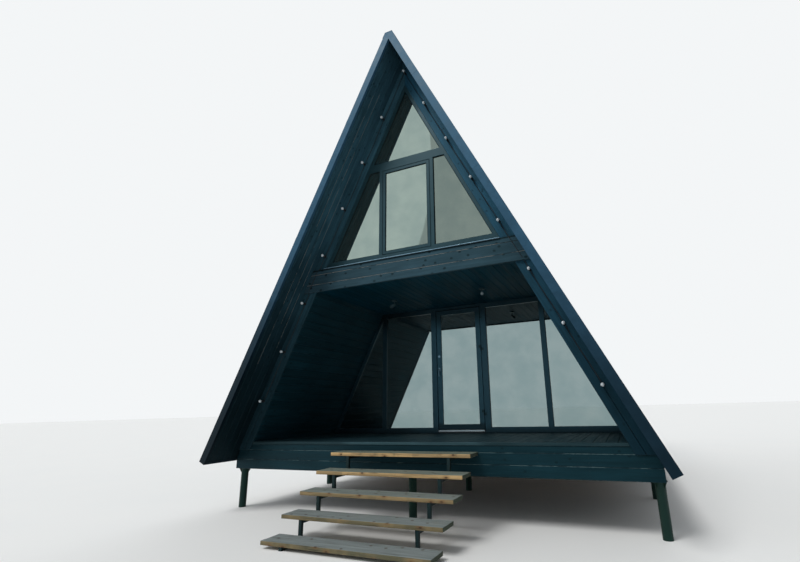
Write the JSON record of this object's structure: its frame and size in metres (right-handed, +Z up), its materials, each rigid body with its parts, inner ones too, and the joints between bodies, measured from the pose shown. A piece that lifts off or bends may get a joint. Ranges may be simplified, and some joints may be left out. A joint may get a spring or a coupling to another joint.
{
  "type": "a-frame cabin",
  "caption": "Steep A-frame cabin of dark painted timber on round steel piles, with a glazed front, a covered porch, a hinged porch door, a loft and an open stair.",
  "frame": {"origin": "middle of the cabin's bounding box at ground level, under the piles' feet", "axes": "+X to the right as seen from the stair, +Y from the porch to the back gable, +Z up"},
  "size_m": [6.4344, 9.015, 7.342],
  "materials": {
    "piles_steel": "satin black paint on round tube",
    "frame_timber": "sawn softwood, unpainted",
    "deck_timber": "dark blue-grey painted boards",
    "floor_timber": "clear-finished boards",
    "skirt_timber": "dark blue-grey painted boards",
    "panel_core": "dark painted timber panel",
    "lining_timber": "dark painted tongued boards",
    "roof_deck_timber": "dark painted boarding",
    "soffit_timber": "dark blue-grey painted boards with open joints",
    "roof_metal": "matt anthracite coated sheet",
    "trim_metal": "matt anthracite folded sheet",
    "casing_timber": "dark blue-grey painted boards",
    "beam_timber": "dark blue-grey painted boards with nail heads",
    "sill_metal": "satin anthracite folded sheet",
    "window_frame": "anthracite foil-faced profile",
    "threshold_metal": "plain aluminium",
    "window_glass": "clear double glazing",
    "fitting_metal": "dark satin metal",
    "tread_timber": "weathered grey planks with ochre edges",
    "stringer_steel": "dark painted square tube",
    "lamp_plastic": "black spot lamp body",
    "holder_rubber": "black lamp holders",
    "bulb_glass": "white opal globe"
  },
  "bodies": {
    "cabin": {"back_cladding": "casing_timber", "back_glass": "window_glass", "back_wall": "panel_core", "back_window_frames": "window_frame", "bulb_holders": "holder_rubber", "bulbs": "bulb_glass", "ceiling": "lining_timber", "door_head": "window_frame", "eave_trims": "trim_metal", "floor_bearers": "frame_timber", "floor_joists": "frame_timber", "front_piles": "piles_steel", "front_skirt": "skirt_timber", "front_verges": "trim_metal", "inner_piles": "piles_steel", "jamb_hinges": "fitting_metal", "left_casing": "casing_timber", "left_glazing_frame": "window_frame", "left_lining": "lining_timber", "left_rear_casing": "casing_timber", "left_roof_deck": "roof_deck_timber", "left_roof_panel": "panel_core", "left_roof_sheet": "roof_metal", "left_soffit": "soffit_timber", "left_stringer": "stringer_steel", "loft_beam": "beam_timber", "loft_floor": "floor_timber", "porch_deck": "deck_timber", "porch_lamps": "lamp_plastic", "rear_piles": "piles_steel", "rear_skirt": "skirt_timber", "rear_verges": "trim_metal", "ridge_cap": "trim_metal", "right_casing": "casing_timber", "right_glazing_frame": "window_frame", "right_lining": "lining_timber", "right_rear_casing": "casing_timber", "right_roof_deck": "roof_deck_timber", "right_roof_panel": "panel_core", "right_roof_sheet": "roof_metal", "right_soffit": "soffit_timber", "right_stringer": "stringer_steel", "room_floor": "floor_timber", "side_glass": "window_glass", "stair_treads": "tread_timber", "threshold": "threshold_metal", "upper_glass": "window_glass", "upper_sash": "window_frame", "upper_window_frame": "window_frame", "window_sill": "sill_metal"},
    "door": {"door_leaf": "window_frame", "door_glass": "window_glass", "door_handles": "fitting_metal", "door_hinges": "fitting_metal"}
  },
  "joints": [
    {"name": "porch_door_hinge", "type": "hinge", "parent": "cabin", "child": "door", "pos_m": [0.4445, -0.9445, 2.152], "axis": [0, 0, 1], "range_deg": [0, 100]}
  ]
}
